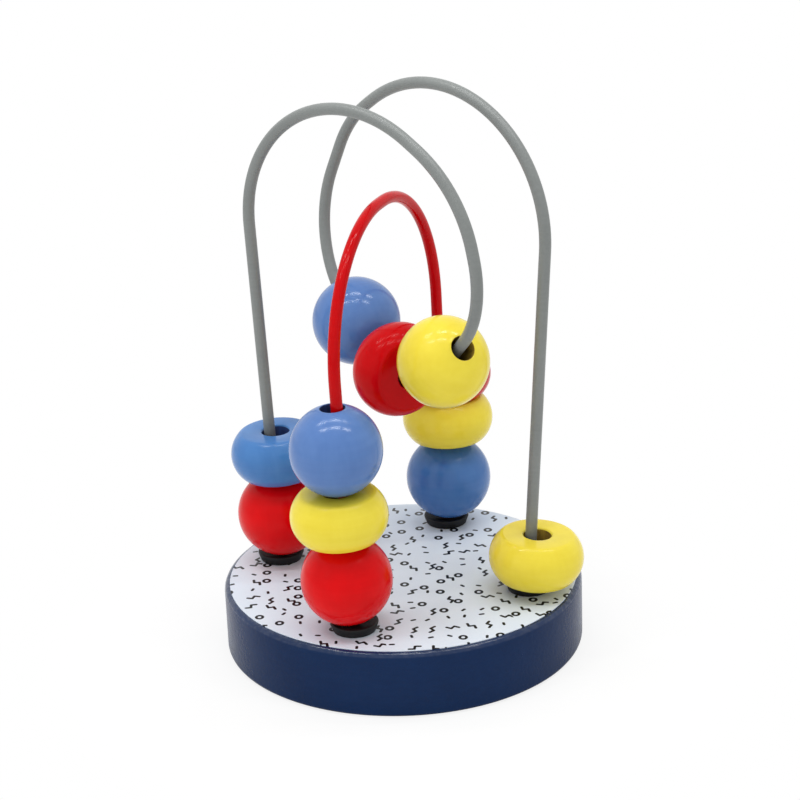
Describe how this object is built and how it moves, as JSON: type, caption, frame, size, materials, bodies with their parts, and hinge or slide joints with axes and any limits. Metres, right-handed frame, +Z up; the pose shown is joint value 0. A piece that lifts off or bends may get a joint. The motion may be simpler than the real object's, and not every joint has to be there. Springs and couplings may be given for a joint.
{
  "type": "bead maze",
  "caption": "Tabletop bead maze: a round painted wooden base with bent sleeved wires that carry sliding wooden ball and disc beads.",
  "frame": {"origin": "centre of the base's underside", "axes": "+Z up, +X towards the right foot of the grey wire, -Y towards the front foot of the red wire"},
  "size_m": [0.1023, 0.1017, 0.157],
  "materials": {
    "base_paint": "satin navy paint on turned wood",
    "print_film": "pale printed film with small black marks",
    "bush_black": "matte black moulded rubber",
    "wire_steel": "bare drawn wire",
    "sleeve_grey": "matte grey sleeve",
    "sleeve_red": "gloss red sleeve",
    "bead_red": "satin red stain over wood grain",
    "bead_yellow": "satin yellow stain over wood grain",
    "bead_blue": "satin blue paint",
    "disc_blue": "satin blue paint"
  },
  "bodies": {
    "frame": {"base": "base_paint", "top_print": "print_film", "left_bush": "bush_black", "right_bush": "bush_black", "front_bush": "bush_black", "rear_bush": "bush_black", "grey_wire_core": "wire_steel", "grey_wire_sleeve": "sleeve_grey", "red_wire_core": "wire_steel", "red_wire_sleeve": "sleeve_red"},
    "left_red": {"left_red_ball": "bead_red"},
    "left_blue": {"left_blue_disc": "disc_blue"},
    "right_yellow": {"right_yellow_disc": "bead_yellow"},
    "front_red": {"front_red_ball": "bead_red"},
    "front_yellow": {"front_yellow_disc": "bead_yellow"},
    "front_blue": {"front_blue_ball": "bead_blue"},
    "rear_blue": {"rear_blue_ball": "bead_blue"},
    "rear_yellow": {"rear_yellow_disc": "bead_yellow"},
    "rear_red": {"rear_red_disc": "bead_red"},
    "valley_red": {"valley_red_disc": "bead_red"},
    "valley_yellow": {"valley_yellow_ball": "bead_yellow"},
    "valley_blue": {"valley_blue_ball": "bead_blue"}
  },
  "joints": [
    {"name": "left_red_slide", "type": "slide", "parent": "frame", "child": "left_red", "axis": [-0.0244, -0.0305, 0.9992], "range_m": [0, 0.035]},
    {"name": "left_blue_slide", "type": "slide", "parent": "left_red", "child": "left_blue", "axis": [-0.0244, -0.0305, 0.9992], "range_m": [0, 0.04]},
    {"name": "right_yellow_slide", "type": "slide", "parent": "frame", "child": "right_yellow", "axis": [0.0635, 0, 0.998], "range_m": [0, 0.08]},
    {"name": "front_red_slide", "type": "slide", "parent": "frame", "child": "front_red", "axis": [-0.024, -0.024, 0.9994], "range_m": [0, 0.002]},
    {"name": "front_yellow_slide", "type": "slide", "parent": "front_red", "child": "front_yellow", "axis": [-0.024, -0.024, 0.9994], "range_m": [0, 0.003]},
    {"name": "front_blue_slide", "type": "slide", "parent": "front_yellow", "child": "front_blue", "axis": [-0.024, -0.024, 0.9994], "range_m": [0, 0.006]},
    {"name": "rear_blue_slide", "type": "slide", "parent": "frame", "child": "rear_blue", "axis": [-0.024, 0.024, 0.9994], "range_m": [0, 0.002]},
    {"name": "rear_yellow_slide", "type": "slide", "parent": "rear_blue", "child": "rear_yellow", "axis": [-0.024, 0.024, 0.9994], "range_m": [0, 0.003]},
    {"name": "rear_red_slide", "type": "slide", "parent": "rear_yellow", "child": "rear_red", "axis": [-0.024, 0.024, 0.9994], "range_m": [0, 0.012]},
    {"name": "valley_red_swing", "type": "hinge", "parent": "frame", "child": "valley_red", "pos_m": [0.001, 0, 0.12395], "axis": [-0.6225, -0.7826, 0], "range_deg": [-3, 3]},
    {"name": "valley_yellow_swing", "type": "hinge", "parent": "valley_red", "child": "valley_yellow", "pos_m": [0.001, 0, 0.12395], "axis": [-0.6225, -0.7826, 0], "range_deg": [-6, 4]},
    {"name": "valley_blue_swing", "type": "hinge", "parent": "valley_red", "child": "valley_blue", "pos_m": [0.001, 0, 0.12395], "axis": [0.6225, 0.7826, 0], "range_deg": [-4, 2]}
  ]
}
